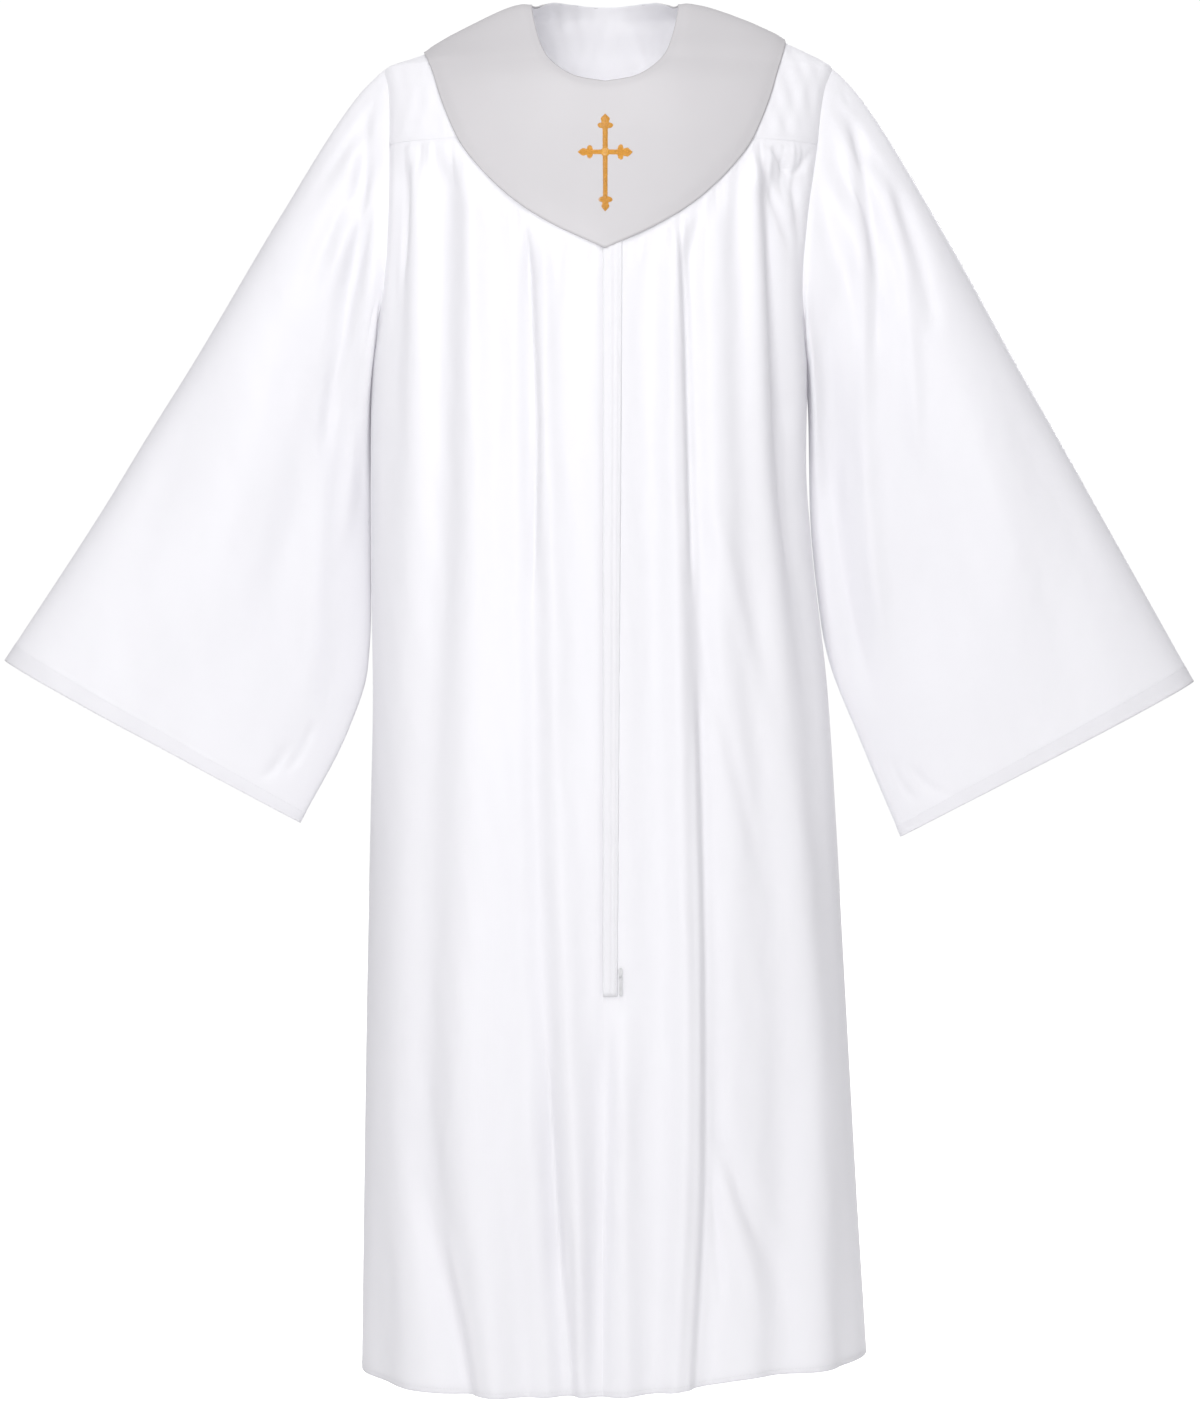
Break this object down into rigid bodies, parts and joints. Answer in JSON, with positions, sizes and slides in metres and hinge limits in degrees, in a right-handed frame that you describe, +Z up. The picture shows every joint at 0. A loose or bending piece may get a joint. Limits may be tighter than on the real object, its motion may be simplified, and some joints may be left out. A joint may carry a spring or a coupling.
{
  "type": "choir robe",
  "caption": "Full-length choir robe filled out as worn: gathered body on a yoke, bell sleeves, pointed silver-grey collar with a raised gold cross, and a lapped front zip with a swinging tab.",
  "frame": {"origin": "inside the base of the neck, at the middle of the garment from front to back, level with the inner ends of the shoulders; it is where the wearer's shoulders hold the robe", "axes": "+Z up along the robe's length, the front faces -Y, +X towards the wearer's left sleeve"},
  "size_m": [1.1104, 0.3496, 1.2838],
  "materials": {
    "robe_cloth": "white polyester with a soft satin sheen, matte side seams and pressed hems",
    "collar_cloth": "silver-grey satin-back cloth, firm and smooth",
    "gold_thread": "machine embroidery in gold rayon thread",
    "zip_metal": "plain nickel-plated zip slider and tab"
  },
  "bodies": {
    "robe": {"yoke_front_left": "robe_cloth", "yoke_front_right": "robe_cloth", "yoke_back": "robe_cloth", "front_left": "robe_cloth", "front_right": "robe_cloth", "back": "robe_cloth", "sleeve_left": "robe_cloth", "sleeve_right": "robe_cloth", "zip_lap": "robe_cloth", "collar": "collar_cloth", "cross": "gold_thread", "zip_slider": "zip_metal"},
    "pull_tab": {"zip_pull": "zip_metal"}
  },
  "joints": [
    {"name": "pull_tab_swing", "type": "hinge", "parent": "robe", "child": "pull_tab", "pos_m": [0.0136, -0.15794, -0.88877], "axis": [-1, 0, 0], "range_deg": [0, 165]}
  ]
}
